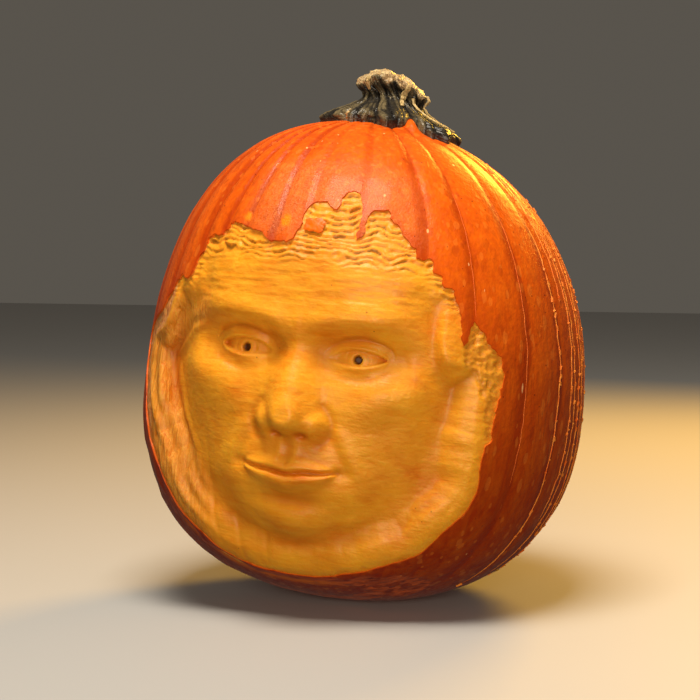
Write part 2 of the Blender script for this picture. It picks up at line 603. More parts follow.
# ---------------------------------------------------------------- where the pumpkin stands
def lean():
    """The turn that leans the pumpkin's frame as it stands."""
    sideways = Vector((math.cos(LEAN_AZIMUTH), math.sin(LEAN_AZIMUTH), 0))
    backwards = Vector((-sideways.y, sideways.x, 0))
    crown = Vector((0, 0, 1)) + math.tan(HEAD_LEAN) * sideways + math.tan(BACK_LEAN) * backwards
    return Vector((0, 0, 1)).rotation_difference(crown).to_matrix().to_4x4()


def standing():
    """The pumpkin's frame as it stands: leaned, then set down where the CAD model's sides are."""
    turn = lean()
    half_turn = np.linspace(-np.pi / 2, np.pi / 2, 361)
    azimuth, rise = np.meshgrid(np.linspace(-np.pi, np.pi, 721), half_turn)
    flat = np.cos(rise).ravel()
    around = stacked(*beside(azimuth.ravel(), flat), np.sin(rise).ravel())
    leaned = pumpkin_point(around) @ np.array(turn)[:3, :3].T
    low, high = leaned.min(0), leaned.max(0)
    place = Vector((
        (PUMPKIN_LOW.x + PUMPKIN_HIGH.x - low[0] - high[0]) / 2,
        PUMPKIN_HIGH.y - high[1],
        PUMPKIN_HIGH.z - high[2],
    ))
    return Matrix.Translation(place) @ turn


STANDING = standing()


# ---------------------------------------------------------------- Blender helpers
def only(piece):
    """Makes a piece the one thing selected and active."""
    if bpy.context.object and bpy.context.object.mode != "OBJECT":
        bpy.ops.object.mode_set(mode="OBJECT")
    bpy.ops.object.select_all(action="DESELECT")
    piece.select_set(True)
    bpy.context.view_layer.objects.active = piece
    return piece


def named(name):
    piece = bpy.context.object
    piece.name = name
    piece.data.name = name
    return only(piece)


def points_of(piece):
    flat = np.empty(len(piece.data.vertices) * 3)
    piece.data.vertices.foreach_get("co", flat)
    return flat.reshape(-1, 3)


def move_points(piece, points):
    piece.data.vertices.foreach_set("co", np.ascontiguousarray(points, float).ravel())
    piece.data.update()


def note(piece, name, values):
    """Keeps one number a point, from 0 to 1, for the piece's material to read."""
    layer = piece.data.attributes.get(name) or piece.data.attributes.new(name, "FLOAT", "POINT")
    layer.data.foreach_set("value", np.ascontiguousarray(np.clip(values, 0, 1), np.float32))


def stand(piece):
    piece.data.transform(STANDING)
    piece.data.update()


def stand_on_floor(piece, floor):
    """Stands a piece up and flattens its foot at a height over the floor."""
    stand(piece)
    points = points_of(piece)
    points[:, 2] = np.maximum(points[:, 2], floor)
    move_points(piece, points)


def joined(pieces, name):
    only(pieces[0])
    for piece in pieces:
        piece.select_set(True)
    bpy.ops.object.join()
    return named(name)


def thicken(piece, thickness, offset=-1.0):
    """Gives a sheet a body, behind it with an offset of -1 and in front of it with 1."""
    body = piece.modifiers.new("body", "SOLIDIFY")
    body.thickness = thickness
    body.offset = offset
    bpy.ops.object.modifier_apply(modifier=body.name)


def smooth(piece, degrees=180):
    only(piece)
    bpy.ops.object.shade_smooth_by_angle(angle=math.radians(degrees))


def outwards(piece):
    only(piece)
    bpy.ops.object.mode_set(mode="EDIT")
    bpy.ops.mesh.select_all(action="SELECT")
    bpy.ops.mesh.normals_make_consistent(inside=False)
    bpy.ops.object.mode_set(mode="OBJECT")


# ---------------------------------------------------------------- the flesh
def blurred(field, reach):
    """A field of heights with each point averaged over its neighbours."""
    kernel = bell(np.arange(-2 * reach, 2 * reach + 1), reach)
    kernel = kernel / kernel.sum()
    for axis in (0, 1):
        edge = [(2 * reach, 2 * reach) if side == axis else (0, 0) for side in (0, 1)]
        padded = np.pad(field, edge, mode="edge")
        field = np.apply_along_axis(lambda line: np.convolve(line, kernel, "valid"), axis, padded)
    return field


def flesh_layout(square):
    """Spreads a square grid from -1 to 1 over the patch's rounded shape."""
    a, b = square[:, 0], square[:, 1]
    rim = np.maximum(np.abs(a), np.abs(b))
    angle = np.arctan2(a, b)
    tall = np.where(b > 0, FLESH_UP, FLESH_DOWN)
    wide, high = np.abs(np.sin(angle)) / FLESH_HALF_WIDTH, np.abs(np.cos(angle)) / tall
    round_reach = (wide**FLESH_POWER + high**FLESH_POWER) ** (-1 / FLESH_POWER)
    b = b + 0.15 * (1 - b * b)
    bend = 0.80 * rim**3
    x = (1 - bend) * a * FLESH_HALF_WIDTH * 0.92 + bend * rim * round_reach * np.sin(angle)
    z = (1 - bend) * b * tall * 0.92 + bend * rim * round_reach * np.cos(angle)
    return x, z


def chance_of(*numbers):
    """A fixed random share from 0 to 1 for each set of whole numbers."""
    mixed = sum(number * factor for number, factor in zip(numbers, (12.9898, 78.233, 37.719)))
    return np.sin(mixed) * 43758.5453 % 1


def chisel_steps(x, z):
    """Broken rows of small chips a chisel leaves, and the dark gaps under them."""
    flat = stacked(x, 0.0, z)
    level = z + 0.0030 * grain_noise(flat, (0.009, 1, 0.007), 3) + 0.0018 * grain_noise(flat, 0.024, 4)
    level = (level + 0.0005 * grain_noise(flat, 0.0028, 8)) / CHIP_PITCH
    row = np.floor(level)
    step = level - row
    column = x / CHIP_LENGTH + 5 * chance_of(row) + 0.4 * step + 0.25 * grain_noise(flat, 0.004, 10)
    place = np.floor(column)
    size = (0.45 + 0.75 * chance_of(place, row)) * (1 - np.abs(2 * (column - place) - 1) ** 4)
    crest = 0.22 + 0.36 * chance_of(row, place, 3)
    lip = ramp(step, crest - 0.18, crest) - 0.80 * ramp(step, crest, 1.0) ** 0.8
    gap = fade(np.abs(step - crest + 0.19), 0.05, 0.15) * ramp(size, 0.45, 0.85)
    return CHIP_RISE * (size * (lip - 0.40) - 0.25), gap


def tool_marks(surface, inward):
    """Steps, gouges, fibres and torn flesh as a rise above the carved form, with their masks."""
    x, z = surface[:, 0], surface[:, 2]
    inside = ramp(inward, 0.0002, 0.0014)
    fringe = ramp(z, 0.045, 0.060) * fade(inward, 0.0025, 0.0080) * 0.6
    stepped = np.maximum(ramp(z, 0.070, 0.084) * fade(inward, 0.013, 0.026), fringe)
    chips, gap = chisel_steps(x, z)
    along = stacked(inward, 0.06 * np.arctan2(x, z), 0.0)
    drift = inward + 0.0030 * grain_noise(along, (0.014, 0.020, 1), 7)
    sweep = np.sin(2 * np.pi * drift / GOUGE_PITCH) * (0.65 + 0.5 * grain_noise(along, (0.010, 0.016, 1), 9))
    wall = ramp(inward, 0.003, 0.008) * fade(inward, 0.026, 0.040) * fade(z, 0.022, 0.050)
    gouges = sweep * wall * (0.00022 + 0.00085 * ramp(-x, 0.050, 0.075))
    fibres = 0.00050 * rough_noise(surface, (0.016, 0.016, 0.0022), 11)
    fibres = fibres + 0.00070 * rough_noise(surface, (0.030, 0.030, 0.0070), 13)
    brow = ramp(z, 0.040, 0.055) * (1 - 0.6 * stepped) * fade(np.abs(x), 0.060, 0.085)
    grain = 0.00016 * rough_noise(surface, 0.0036, 17) + 0.00040 * grain_noise(surface, 0.012, 19)
    torn_place = torn_patch(x, z)
    shreds = 1 - 2 * np.abs(grain_noise(surface, (0.0027, 0.0027, 0.0023), 23))
    torn = 0.0010 * shreds + 0.0008 * grain_noise(surface, 0.0018, 25) - 0.0010
    raw = ramp(ledge(x, z) + 0.0016 - inward, 0.0, 0.0015) * (x < 0)
    rim = fade(inward, 0.002, 0.007) * 0.00055 * rough_noise(surface, 0.0030, 29)
    flecks = 0.00050 * rough_noise(surface, (0.0030, 0.0030, 0.0045), 31) * raw
    rise = chips * stepped + gouges + fibres * brow + grain + torn * torn_place + rim + flecks
    masks = {"torn": torn_place, "chipped": stepped, "raw": raw, "gap": gap * stepped}
    masks["wall"] = ramp(-x, 0.045, 0.070) * fade(inward, 0.024, 0.036) * fade(z, 0.040, 0.060)
    return rise * inside, {name: mask * inside for name, mask in masks.items()}


def grid_outward(surface, rows, columns):
    """The outward direction of each point of a grid of points that faces -Y."""
    grid = surface.reshape(rows, columns, 3)
    outward = np.cross(np.gradient(grid, axis=1), np.gradient(grid, axis=0)).reshape(-1, 3)
    outward = outward * -np.sign(outward[:, 1:2])
    return outward / np.linalg.norm(outward, axis=1)[:, None]


def draw_back(flesh):
    """Extrudes the relief's border ring by ring over the back of the core, and closes it there."""
    far = np.array([0.0, 1.0, 0.0])
    only(flesh)
    bpy.ops.object.mode_set(mode="EDIT")
    bpy.ops.mesh.select_mode(type="EDGE")
    bpy.ops.mesh.select_all(action="DESELECT")
    bpy.ops.mesh.select_non_manifold()
    for shrink in BACK_RINGS:
        bpy.ops.mesh.extrude_region_move()
        bpy.ops.object.mode_set(mode="OBJECT")
        points = points_of(flesh)
        ring = np.zeros(len(points), bool)
        flesh.data.vertices.foreach_get("select", ring)
        start = points[ring] / np.linalg.norm(points[ring], axis=1)[:, None]
        turn = np.arccos(start @ far)[:, None] * shrink
        across = start - (start @ far)[:, None] * far
        across = across / np.linalg.norm(across, axis=1)[:, None]
        surface = pumpkin_point(np.cos(turn) * far + np.sin(turn) * across)
        depth = (RIND + CORE_DROP) / np.linalg.norm(surface, axis=1)
        points[ring] = surface * (1 - depth)[:, None]
        move_points(flesh, points)
        bpy.ops.object.mode_set(mode="EDIT")
    bpy.ops.mesh.merge(type="CENTER")
    bpy.ops.object.mode_set(mode="OBJECT")


def make_flesh():
    bpy.ops.mesh.primitive_grid_add(x_subdivisions=FLESH_COLUMNS, y_subdivisions=FLESH_ROWS, size=2)
    flesh = named("pumpkin_flesh")
    x, z = flesh_layout(points_of(flesh))
    front, inward = flesh_front(x, z)
    surface = stacked(x, -front, z)
    marks, masks = tool_marks(surface, inward)
    field = (front - grooved_front(x, z)).reshape(FLESH_ROWS + 1, FLESH_COLUMNS + 1)
    hollow = (blurred(field, 7) - field).ravel() / 0.0030
    outward = grid_outward(surface, FLESH_ROWS + 1, FLESH_COLUMNS + 1)
    move_points(flesh, surface + outward * marks[:, None])
    masks["hollow"] = hollow
    for name, mask in masks.items():
        note(flesh, name, mask)
    note(flesh, "edge", fade(inward, 0.0002, 0.0030))
    across, up = face_place(x, z)
    away = np.hypot(np.abs(across) - EYE_ACROSS, up - EYE_UP)
    note(flesh, "pupil", fade(away, PUPIL_RADIUS - 0.0006, PUPIL_RADIUS + 0.0003))
    draw_back(flesh)
    outwards(flesh)
    stand_on_floor(flesh, RIND + 0.0002)
    smooth(flesh)
    return flesh


# ---------------------------------------------------------------- the rind
def opening_cutter():
    """A cone from the core out through the rind, along the torn edge."""
    bpy.ops.mesh.primitive_cylinder_add(vertices=OPENING_POINTS, end_fill_type="TRIFAN")
    cutter = named("opening_cutter")
    points = points_of(cutter)
    rim = np.hypot(points[:, 0], points[:, 1]) > 0.5
    outer = points[:, 2] > 0
    turn = np.arctan2(points[:, 0], points[:, 1]) / (2 * np.pi)
    number = np.round(turn * OPENING_POINTS).astype(int) % OPENING_POINTS
    x, z = EDGE[number].T
    skin = stacked(x, -grooved_front(x, z), z)
    placed = np.where(outer[:, None], CUTTER_REACH[1], CUTTER_REACH[0]) * skin
    placed[~rim & outer] = (0, -0.30, 0)
    placed[~rim & ~outer] = (0, 0, 0)
    move_points(cutter, placed)
    stand(cutter)
    outwards(cutter)
    return cutter


def skin_outward(points):
    """The plain pumpkin's outward direction at each point."""
    plain = bowed(points, -1)
    size = stacked(GIRTH_RADIUS, GIRTH_RADIUS, half_shape(plain[:, 2])[1])
    outward = np.sign(plain) * np.abs(plain / size) ** 1.3 / size
    return outward / np.linalg.norm(outward, axis=1)[:, None]


def by_swelling(points):
    """How far points lie aside of the swelling by the stem, and how far out along it."""
    turn = math.radians(SWELLING[0])
    across = points[:, 0] * math.cos(turn) + points[:, 1] * math.sin(turn)
    return across, points[:, 0] * math.sin(turn) - points[:, 1] * math.cos(turn)


def skin_lumps(points):
    """The rind's own unevenness, the swelling by the stem included."""
    lumps = 0.00045 * rough_noise(points, 0.024, 51)
    lumps = lumps + 0.00009 * rough_noise(points, (0.006, 0.006, 0.010), 53)
    _, reach, width, rise = SWELLING
    across, along = by_swelling(points)
    tongue = bell(across, width) * ramp(along, reach - 0.012, reach - 0.002)
    tongue = tongue * fade(along, reach + 0.002, reach + 0.016) * (points[:, 2] > 0)
    return lumps + rise * tongue


def shaved(points):
    """Flattens small facets into the rind just under the opening, and says where they are."""
    mark = np.zeros(len(points))
    for azimuth, rise, depth in FACETS:
        spot = pumpkin_point(np.array([heading(azimuth, rise)]))
        outward = skin_outward(spot)[0]
        proud = (points - spot[0]) @ outward + depth
        points = points - np.maximum(proud, 0)[:, None] * outward
        mark = np.maximum(mark, ramp(proud, -0.0001, 0.0002))
    return points, mark


def make_rind():
    bpy.ops.mesh.primitive_uv_sphere_add(segments=RIND_COLUMNS, ring_count=RIND_ROWS, radius=1)
    rind = named("pumpkin_rind")
    direction = points_of(rind)
    points = pumpkin_point(direction)
    points, mark = shaved(points + direction * skin_lumps(points)[:, None])
    move_points(rind, points)
    note(rind, "shaved", mark)
    stand_on_floor(rind, 0)
    bpy.ops.mesh.primitive_uv_sphere_add(segments=LINING_COLUMNS, ring_count=LINING_ROWS, radius=1)
    lining = named("rind_lining")
    inner = pumpkin_point(points_of(lining))
    move_points(lining, inner - RIND * skin_outward(inner))
    stand_on_floor(lining, RIND)
    lining.data.flip_normals()
    rind = joined([rind, lining], "pumpkin_rind")
    cutter = opening_cutter()
    only(rind)
    opening = rind.modifiers.new("opening", "BOOLEAN")
    opening.operation = "DIFFERENCE"
    opening.object = cutter
    bpy.ops.object.modifier_apply(modifier=opening.name)
    bpy.data.objects.remove(cutter, do_unlink=True)
    note_rind(rind)
    smooth(rind, 45)
    return rind


def note_rind(rind):
    """Marks the grooves, the opening's edge, the thin spots and the rest for the rind's material."""
    points = (points_of(rind) - np.array(STANDING.translation)) @ np.array(STANDING)[:3, :3]
    plain = bowed(points, -1)
    direction = plain / np.linalg.norm(plain, axis=1)[:, None]
    azimuth = np.arctan2(plain[:, 0], -plain[:, 1])
    near, share = groove_place(azimuth, points[:, 2])
    apart = near * GROOVE_SPACING * np.hypot(plain[:, 0], plain[:, 1])
    note(rind, "near_groove", 100 * apart)
    note(rind, "groove", share * fade(np.abs(near), 0.10, 0.30))
    gloss = ramp(points[:, 2], 0.080, 0.098) * fade(points[:, 2], 0.124, 0.140)
    note(rind, "crinkled", gloss * fade(np.abs(np.degrees(azimuth) - 6), 16, 34))
    deep = np.linalg.norm(straight_point(direction), axis=1) - np.linalg.norm(plain, axis=1)
    inward = edge_distance(points[:, 0], points[:, 2])
    front = points[:, 1] < 0
    note(rind, "cut", ramp(deep, 0.0005, 0.0011) * front * ramp(inward, -0.006, -0.003))
    note(rind, "edge", front * ramp(inward, -0.0045, -0.0005))
    thin = np.zeros(len(points))
    for x, z, size in THIN_SPOTS:
        away = np.hypot(points[:, 0] - x, points[:, 2] - z) + 0.0014 * grain_noise(points, 0.004, 47)
        thin = np.maximum(thin, fade(away, size * 0.7, size))
    note(rind, "thin", thin * front)
    across, along = by_swelling(points)
    from_hole = np.hypot(across, along - SWELLING[1] - 0.001)
    note(rind, "hole", fade(from_hole, 0.0012, 0.0022) * (points[:, 2] > 0))


def leaned_out(base, proud):
    """Points that stand proud of the uneven rind by the given amounts."""
    plain = base / np.linalg.norm(base, axis=1)[:, None]
    skin = pumpkin_point(plain)
    return skin + plain * skin_lumps(skin)[:, None] + skin_outward(skin) * np.asarray(proud)[:, None]


def strand(path, half_width, proud, rough, sides=4):
    """A flattened strand over the rind along (azimuth, height) points, marked as rough or plain."""
    azimuth, z = path.T
    bpy.ops.mesh.primitive_grid_add(x_subdivisions=sides, y_subdivisions=len(z) - 1, size=2)
    made = named("seam")
    flat = points_of(made)
    row = np.round((flat[:, 1] + 1) / 2 * (len(z) - 1)).astype(int)
    turn = azimuth[row] + flat[:, 0] * half_width[row] / np.maximum(girth(z[row]), 0.02)
    base = stacked(*beside(turn, girth(z[row])), z[row])
    move_points(made, leaned_out(base, (1 - flat[:, 0] ** 2) * proud[row] - 0.0002))
    thicken(made, 0.0006)
    stand(made)
    note(made, "corky", np.full(len(made.data.vertices), rough))
    return made


def make_seams():
    """Raised corky lines from shoulder to foot, the rough ones with short side branches."""
    chance = np.random.default_rng(5)
    strips = []
    for number, (azimuth, high, low, width, rough) in enumerate(SEAMS):
        z = np.linspace(low, high, int((high - low) * SEAM_POINTS))
        spot = stacked(number, 0.0, z)
        wander = 0.012 * grain_noise(spot, 0.035, 61) + rough * 0.0080 * grain_noise(spot, 0.0050, 63)
        path = stacked(math.radians(azimuth) + wander, z)
        ends = np.clip(1 - (2 * (z - low) / (high - low) - 1) ** 10, 0, 1) ** 0.5
        swell = np.clip(0.65 + 0.35 * rough * rough_noise(spot, 0.0035, 65), 0.15, 1.4)
        half = width / 2 * ends * (0.55 + 0.45 * swell)
        proud = (0.00030 + 0.00050 * rough * swell) * ends
        strips.append(strand(path, half, proud, rough))
        for _ in range(int(SEAM_SPURS * (high - low) / SEAM_HEIGHT) if rough > 0.6 else 0):
            start = chance.integers(4, len(z) - 4)
            reach = chance.uniform(0.0010, 0.0030)
            away = chance.choice((-1, 1)) * chance.uniform(0.005, 0.015)
            along = np.linspace(0, 1, 7)
            branch = path[start] + along[:, None] * (away, chance.choice((-1, 1)) * reach)
            thin = 0.00028 * (1 - along) + 0.00004
            strips.append(strand(branch, thin, 0.0004 * (1 - along) + 0.0003, rough, 2))
    seams = joined(strips, "rind_seams")
    outwards(seams)
    smooth(seams, 60)
    return seams


def make_scrap():
    """A leftover scrap of rind, shaved thin, that still lies on the flesh under the fringe."""
    bpy.ops.mesh.primitive_circle_add(vertices=90, radius=1, fill_type="TRIFAN")
    scrap = named("rind_scrap")
    bpy.ops.object.mode_set(mode="EDIT")
    bpy.ops.mesh.subdivide(number_cuts=11)
    bpy.ops.object.mode_set(mode="OBJECT")
    flat = points_of(scrap)
    share = np.hypot(flat[:, 0], flat[:, 1])
    round_spot = flat / np.maximum(share, 1e-6)[:, None]
    x0, z0, across, up = SCRAP
    edge = 1 + 0.26 * grain_noise(round_spot + 5, 0.55, 91) + 0.14 * grain_noise(round_spot + 5, 0.22, 93)
    x = x0 + across * flat[:, 0] * edge
    z = z0 + up * flat[:, 1] * edge
    spot = stacked(x, 0.0, z)
    crown = 0.00030 * rough_noise(spot, 0.0040, 95) + 0.0003 * fade(share, 0.75, 1.0)
    front = grooved_front(x, z) - 0.0011 + crown
    move_points(scrap, stacked(x, -front, z))
    thicken(scrap, 0.0012, 1)
    stand(scrap)
    outwards(scrap)
    note(scrap, "thin", np.full(len(scrap.data.vertices), SCRAP_PALENESS))
    smooth(scrap, 50)
    return scrap


# ---------------------------------------------------------------- the stem
def shoulder_height(x, y):
    """The plain pumpkin's height over a place near its crown."""
    across, back = bow(SHOULDER_HEIGHT - STEM_SUNK)
    share = np.hypot(x - across, y - back) / GIRTH_RADIUS
    return SHOULDER_HEIGHT * (1 - share**SHOULDER_POWER) ** (1 / SHOULDER_POWER)


def cut_top(out_x, out_y):
    """The cut top's height over a place beside the stem's middle."""
    across = out_x * math.cos(LEAN_AZIMUTH) + out_y * math.sin(LEAN_AZIMUTH) + STEM_SWAY
    back = out_y * math.cos(LEAN_AZIMUTH) - out_x * math.sin(LEAN_AZIMUTH)
    fall = STEM_TOP_TILT * (STEM_CROWN_RADIUS - back)
    return SHOULDER_HEIGHT + smooth_through(across, STEM_TOP) - fall


def stem_surface(angle, height, swollen=0.0):
    """Points on the stem for angles from the front and shares of its height; past 1 is the cut top."""
    toes = np.array(STEM_TOES, float)
    away = np.abs((np.degrees(angle)[:, None] - toes + 180) % 360 - 180)
    order = np.argsort(away, axis=1)
    near = np.take_along_axis(away, order[:, :2], axis=1)
    ridge = 1 - 2 * near[:, 0] / (near[:, 0] + near[:, 1])
    reach = np.array(STEM_TOE_REACH)[order[:, 0]]
    toe = STEM_VALLEY_REACH + (reach - STEM_VALLEY_REACH) * ridge**0.75
    side = np.clip(height, 0, 1)
    crown = (STEM_CROWN_RADIUS - STEM_NECK_RADIUS) * ramp(side, 0.68, 0.90)
    neck = (STEM_NECK_RADIUS + crown) * (0.90 + 0.10 * ridge)
    radius = neck + (toe - neck) * smooth_through(side, STEM_FLARE) + swollen
    foot = shoulder_height(*beside(angle, toe))
    top = cut_top(*beside(angle, STEM_CROWN_RADIUS))
    inwards = np.clip(height - 1, 0, 1)
    out_x, out_y = beside(angle, radius * (1 - inwards))
    rise = np.where(height > 1, cut_top(out_x, out_y), foot + (top - foot) * side)
    return stacked(out_x + STEM_SWAY * ramp(side, 0.2, 1.0), out_y, rise), ridge


def stem_relief(angle, height):
    """How far the stem's cords, knobs and wrinkles stand out, how far from a furrow, and the place."""
    around = stacked(np.sin(angle) * 0.02, np.cos(angle) * 0.02, 0.030 * np.clip(height, 0, 1))
    stray = grain_noise(around, (0.012, 0.012, 0.014), 69)
    strand = angle * STEM_CORDS / (2 * np.pi) + 0.9 * height + 0.55 * stray
    number = np.floor(strand)
    across = np.abs(np.sin(np.pi * strand))
    size = 0.62 + 0.38 * np.sin(number * 2.7 + 1.3)
    cords = CORD_RISE * size * (across**0.55 - 0.55)
    cords = cords * (0.55 + 0.45 * ramp(height, 0.05, 0.35)) * (1 - 0.45 * ramp(height, 0.70, 0.95))
    thin = np.abs(np.sin(np.pi * (2.6 * strand + 1.1 * grain_noise(around, (0.006, 0.006, 0.009), 70))))
    cords = cords + THIN_CORD_RISE * (thin**0.6 - 0.6)
    knobs = 0.0019 * rough_noise(around, (0.0052, 0.0052, 0.0060), 73)
    knobs = knobs + 0.0030 * bell(np.degrees(angle) + 6, 9) * ramp(height, 0.60, 0.78)
    fine = 0.00070 * rough_noise(around, (0.0030, 0.0030, 0.0013), 71, 2)
    return cords + knobs + fine, np.minimum(across, 0.25 + thin), around


def make_stem():
    bpy.ops.mesh.primitive_cylinder_add(vertices=STEM_COLUMNS, end_fill_type="TRIFAN", depth=1)
    stem = named("pumpkin_stem")
    bpy.context.scene.tool_settings.mesh_select_mode = (False, True, False)
    corners = points_of(stem)
    for edge in stem.data.edges:
        start, end = corners[list(edge.vertices)]
        edge.select = bool(abs(start[2] - end[2]) > 0.5)
    for face in stem.data.polygons:
        face.select = False
    bpy.ops.object.mode_set(mode="EDIT")
    bpy.ops.mesh.select_mode(type="EDGE")
    bpy.ops.mesh.subdivide(number_cuts=STEM_ROWS)
    bpy.ops.object.mode_set(mode="OBJECT")
    points = points_of(stem)
    angle = np.arctan2(points[:, 0], -points[:, 1])
    level = points[:, 2] + 0.5
    height = np.where(level < STEM_SIDE, level / STEM_SIDE, 1 + (level - STEM_SIDE) / (1 - STEM_SIDE))
    middle = np.hypot(points[:, 0], points[:, 1]) < 0.5
    height[middle & (level > 0.5)] = 2
    relief, across, around = stem_relief(angle, height)
    side = fade(height, 0.95, 1.05)
    lip = 0.0013 * grain_noise(around, (0.005, 0.005, 0.1), 75) * ramp(height, 0.84, 0.97)
    placed, ridge = stem_surface(angle, height, relief * side + lip)
    cap = ramp(height, 0.965, 1.02)
    spot = placed.copy()
    spot[:, 2] = 0
    broken = 0.0030 * rough_noise(spot, (0.0065, 0.0065, 1), 77)
    notch = 0.0052 * bell(spot[:, 0] + 0.0085, 0.0013) * (spot[:, 1] > 0)
    placed[:, 2] += cap * (broken - notch - 0.0022 * ramp(height, 1.25, 1.75))
    placed[:, 2] += 0.0008 * rough_noise(placed, 0.0045, 79) * ramp(height, 0.1, 0.3) * side
    placed[level <= 0, 2] -= 0.0030
    placed[middle & (level <= 0), :2] = 0
    move_points(stem, placed)
    pale = height + 0.10 * grain_noise(around, (0.004, 0.004, 0.1), 85)
    strand = bell(np.degrees(angle) + 6, 10) * fade(height, 1.02, 1.08)
    note(stem, "top", ramp(pale, 0.88, 0.93) * (1 - strand))
    note(stem, "toe", fade(height, 0.02, 0.14) * ridge)
    recess = 0.8 * bell(height - 0.79, 0.07)
    note(stem, "furrow", np.clip(fade(across, 0.10, 0.62) * side + recess, 0, 1))
    note(stem, "crest", ramp(relief, 0.0002, 0.0016) * side)
    stand(stem)
    outwards(stem)
    smooth(stem, 70)
    return stem


def make_stem_fibres():
    """Pale strips of fibre that have come loose from the stem."""
    strips = []
    for number, (start, end, width, bowing) in enumerate(FIBRES):
        bpy.ops.mesh.primitive_grid_add(x_subdivisions=4, y_subdivisions=40, size=2)
        strip = named("fibre")
        flat = points_of(strip)
        along = (flat[:, 1] + 1) / 2
        angle = np.radians(start[0] + (end[0] - start[0]) * along)
        height = start[1] + (end[1] - start[1]) * along
        spot = stacked(number, flat[:, 0] * 0.2, along)
        half = width / 2 * (0.55 + 0.45 * np.sin(np.pi * np.clip(along, 0.02, 0.98)) ** 0.5)
        half = half * (1 + 0.35 * grain_noise(spot, 0.16, 81))
        relief, _, _ = stem_relief(angle, height)
        lift = 0.0009 + 0.5 * relief + bowing * np.sin(np.pi * along)
        lift = lift + 0.0005 * grain_noise(spot, 0.12, 83)
        centre, _ = stem_surface(angle, height, lift)
        aside = stacked(np.cos(angle), np.sin(angle), 0.0) * (flat[:, 0] * half)[:, None]
        outward = stacked(*beside(angle, 1), 0.0) * (0.0006 * (1 - flat[:, 0] ** 2))[:, None]
        move_points(strip, centre + aside + outward)
        thicken(strip, 0.0007)
        strips.append(strip)
    fibres = joined(strips, "stem_fibres")
    stand(fibres)
    outwards(fibres)
    smooth(fibres, 60)
    return fibres


# ---------------------------------------------------------------- finishes
def feed(tree, socket, value):
    """Links another node's output to a socket, or sets the socket's plain value."""
    if isinstance(value, bpy.types.NodeSocket):
        tree.links.new(value, socket)
    else:
        socket.default_value = value


def wire(tree, kind, props=None, **inputs):
    """A shader node with its properties set and its inputs given as values or as links."""
    made = tree.nodes.new("ShaderNode" + kind)
    for name, value in (props or {}).items():
        setattr(made, name, value)
    for name, value in inputs.items():
        feed(tree, made.inputs[name.replace("_", " ")], value)
    return made


def sums(tree, operation, *values, clamp=False):
    """One number worked out from one or two others."""
    made = wire(tree, "Math", {"operation": operation, "use_clamp": clamp})
    for socket, value in zip(made.inputs, values):
        feed(tree, socket, value)
    return made.outputs[0]


def spread(tree, value, low, high, to_low=0.0, to_high=1.0):
    """A value's stretch from low to high, spread from to_low to to_high."""
    ends = {"From_Min": low, "From_Max": high, "To_Min": to_low, "To_Max": to_high}
    return wire(tree, "MapRange", Value=value, **ends).outputs["Result"]


def blend(tree, share, first, second):
    """Two colours mixed by a share."""
    made = wire(tree, "Mix", {"data_type": "RGBA"})
    for number, value in ((0, share), (6, first), (7, second)):
        feed(tree, made.inputs[number], value)
    return made.outputs[2]


def colour(red, green, blue):
    """A paint colour given as it looks on a screen, from 0 to 255."""
    tones = [tone / 255 for tone in (red, green, blue)]
    return [tone / 12.92 if tone <= 0.04045 else ((tone + 0.055) / 1.055) ** 2.4 for tone in tones] + [1]


def marked(tree, name):
    return wire(tree, "Attribute", {"attribute_name": name}).outputs["Fac"]


def stretched(tree, vector, scale, turn=(0.0, 0.0, 0.0)):
    return wire(tree, "Mapping", Vector=vector, Rotation=turn, Scale=scale).outputs["Vector"]


def tinted(tree, tone, layers):
    """A tone with layers over it: a mask or its name, how strongly it shows, and its colour."""
    for mask, share, paint in layers:
        mask = marked(tree, mask) if isinstance(mask, str) else mask
        paint = colour(*paint) if isinstance(paint, tuple) else paint
        tone = blend(tree, sums(tree, "MULTIPLY", mask, share), tone, paint)
    return tone


def bumped(tree, layers):
    """The surface's direction with bumps on it, each a height, its distance and its strength."""
    normal = None
    for height, distance, strength in layers:
        made = wire(tree, "Bump", Height=height, Distance=distance, Strength=strength)
        if normal is not None:
            tree.links.new(normal, made.inputs["Normal"])
        normal = made.outputs["Normal"]
    return normal


def effect(name, inputs, outputs):
    """A new group of shader nodes with a place and some numbers going in and masks coming out."""
    group = bpy.data.node_groups.new(name, "ShaderNodeTree")
    group.interface.new_socket("Vector", in_out="INPUT", socket_type="NodeSocketVector")
    for socket, value in inputs.items():
        made = group.interface.new_socket(socket, in_out="INPUT", socket_type="NodeSocketFloat")
        made.default_value = value
    for socket in outputs:
        group.interface.new_socket(socket, in_out="OUTPUT", socket_type="NodeSocketFloat")
    return group, group.nodes.new("NodeGroupInput").outputs, group.nodes.new("NodeGroupOutput").inputs


def mottle_effect():
    """Soft blotches, and a fine grain."""
    group, given, out = effect(
        "mottle", {"Blotch Scale": 40.0, "Grain Scale": 400.0}, ("Blotch", "Grain")
    )
    for name, detail in (("Blotch", 4.0), ("Grain", 3.0)):
        noise = wire(
            group, "TexNoise", Vector=given["Vector"], Scale=given[name + " Scale"], Detail=detail
        )
        group.links.new(spread(group, noise.outputs["Fac"], 0.30, 0.70), out[name])
    return group


def speck_effect():
    """Small round specks at some of the cells of a scattered pattern."""
    group, given, out = effect("specks", {"Scale": 200.0, "Size": 0.2, "Share": 0.2}, ("Mask",))
    cells = wire(group, "TexVoronoi", Vector=given["Vector"], Scale=given["Scale"])
    chosen = wire(group, "SeparateColor", Color=cells.outputs["Color"])
    there = sums(group, "LESS_THAN", chosen.outputs["Red"], given["Share"])
    size = sums(group, "MULTIPLY", chosen.outputs["Green"], given["Size"])
    near = sums(group, "SUBTRACT", size, cells.outputs["Distance"])
    group.links.new(sums(group, "MULTIPLY", there, spread(group, near, 0.0, 0.06)), out["Mask"])
    return group


